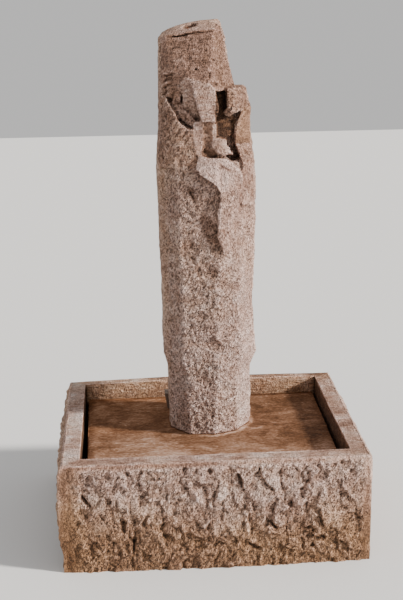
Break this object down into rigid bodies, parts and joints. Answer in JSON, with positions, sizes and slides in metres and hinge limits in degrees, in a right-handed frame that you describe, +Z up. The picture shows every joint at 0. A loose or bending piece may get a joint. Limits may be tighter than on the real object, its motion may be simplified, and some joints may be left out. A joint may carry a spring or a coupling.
{
  "type": "garden fountain",
  "caption": "Rough-hewn cast-stone fountain column with a stepped spout head, standing in a low rock-faced square basin with a loose floor slab.",
  "frame": {"origin": "on the ground under the middle of the basin", "axes": "+Z up, +X to the right as seen from the front, the front rock face and the spout head look along -Y"},
  "size_m": [0.824, 0.704, 1.382],
  "materials": {
    "basin_stone": "rock-faced cast stone, brown and grey patina",
    "slab_stone": "trowelled cast stone with a dark brown patina",
    "pier_stone": "plain cast concrete",
    "column_stone": "coarse cast stone, brown and grey patina",
    "copper_pipe": "dulled copper pipe",
    "brass_fitting": "satin brass",
    "grey_block": "fine grey cast stone",
    "black_rubber": "matt black"
  },
  "bodies": {
    "root": {"basin": "basin_stone", "pool_floor_slab": "slab_stone", "support_pier_left": "pier_stone", "support_pier_right": "pier_stone", "column": "column_stone", "riser_pipe": "copper_pipe", "hose_tail": "brass_fitting", "cable_block": "grey_block", "cable_grommet": "black_rubber", "drain_plug": "black_rubber"}
  },
  "joints": []
}
